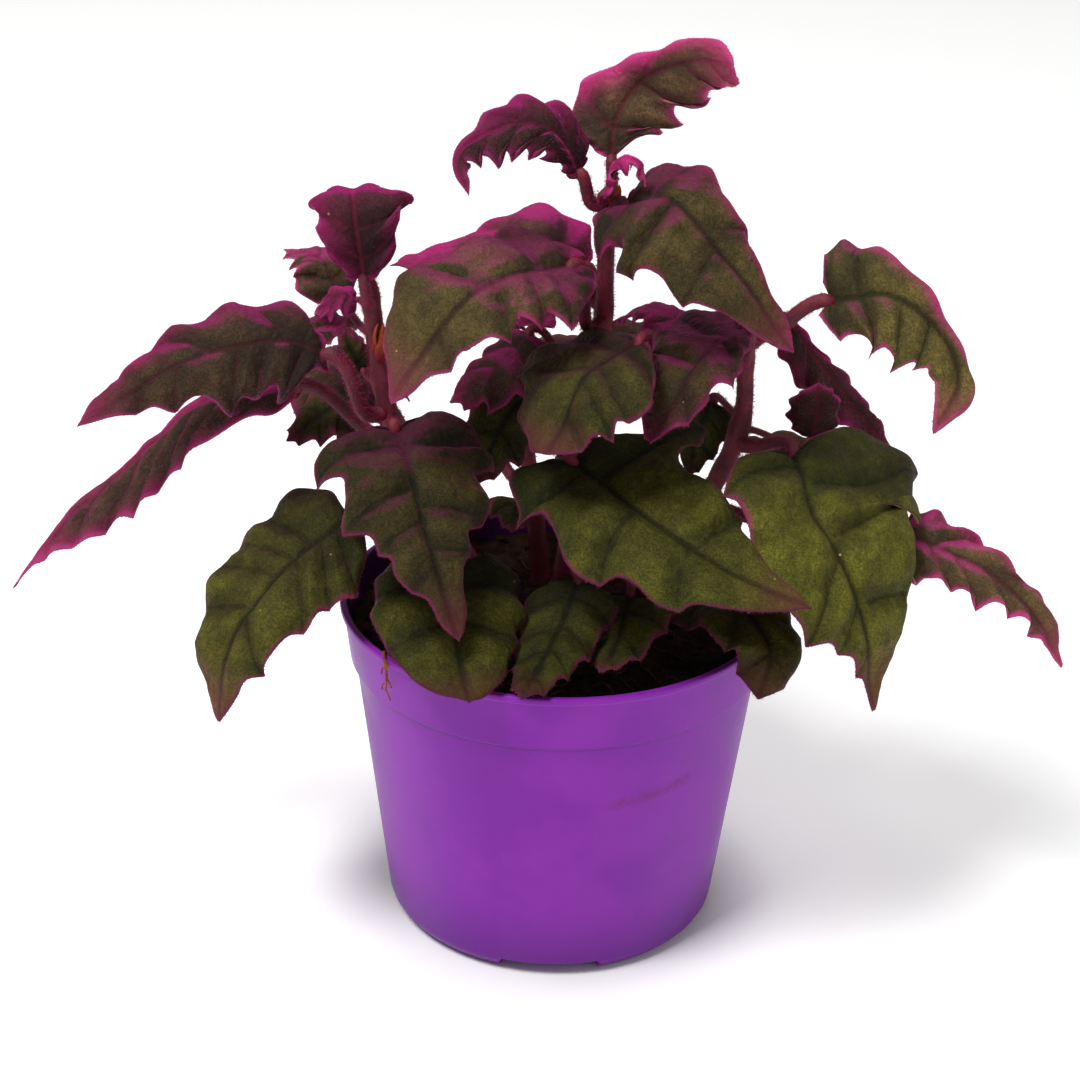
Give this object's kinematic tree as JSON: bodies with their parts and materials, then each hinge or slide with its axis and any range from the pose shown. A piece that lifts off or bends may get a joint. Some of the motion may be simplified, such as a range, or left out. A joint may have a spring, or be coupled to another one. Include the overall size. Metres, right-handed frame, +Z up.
{
  "type": "potted purple passion plant",
  "caption": "Velvet-leaved purple house plant with toothed leaves on upright hairy stems, in a round nursery pot of soil.",
  "frame": {"origin": "on the surface that the pot stands on, under the middle of the whole plant's box; the pot's axis is at x 6.3 mm, y -17.0 mm", "axes": "+X to the viewer's right as the picture shows the plant, -Y to the front, +Z up"},
  "size_m": [0.288, 0.1704, 0.2529],
  "materials": {
    "pot": "semi-gloss moulded violet polypropylene, faintly scuffed",
    "soil": "damp dark peat with bark and brown fibres",
    "stem": "crimson skin under fine magenta hair",
    "leaf_young": "velvet, brown-purple with magenta hair",
    "leaf_mid": "velvet, olive brown with magenta edges",
    "leaf_old": "velvet, dark olive green with a thin purple edge"
  },
  "bodies": {
    "root": {"pot": "pot", "soil": "soil", "stem_tall": "stem", "stem_left": "stem", "stem_right": "stem", "stem_back": "stem", "leaf_tall_1": "leaf_young", "leaf_tall_2": "leaf_young", "leaf_tall_3": "leaf_young", "leaf_tall_4": "leaf_mid", "leaf_tall_5": "leaf_mid", "leaf_tall_6": "leaf_young", "leaf_tall_7": "leaf_young", "leaf_tall_8": "leaf_old", "leaf_tall_9": "leaf_old", "leaf_tall_10": "leaf_old", "leaf_tall_11": "leaf_old", "leaf_left_1": "leaf_young", "leaf_left_2": "leaf_young", "leaf_left_3": "leaf_old", "leaf_left_4": "leaf_mid", "leaf_left_5": "leaf_mid", "leaf_left_6": "leaf_young", "leaf_left_7": "leaf_young", "leaf_left_8": "leaf_mid", "leaf_left_9": "leaf_old", "leaf_left_10": "leaf_old", "leaf_left_12": "leaf_mid", "leaf_tall_13": "leaf_old", "leaf_right_1": "leaf_mid", "leaf_right_2": "leaf_young", "leaf_right_3": "leaf_young", "leaf_right_4": "leaf_mid", "leaf_right_5": "leaf_young", "leaf_right_6": "leaf_old", "leaf_right_7": "leaf_mid", "leaf_right_8": "leaf_old", "leaf_right_9": "leaf_old", "leaf_right_10": "leaf_old", "leaf_left_11": "leaf_mid", "leaf_tall_12": "leaf_mid", "leaf_back_1": "leaf_mid", "leaf_back_2": "leaf_mid", "leaf_back_3": "leaf_young", "leaf_back_4": "leaf_old", "leaf_back_5": "leaf_old", "leaf_back_6": "leaf_old"}
  },
  "joints": []
}
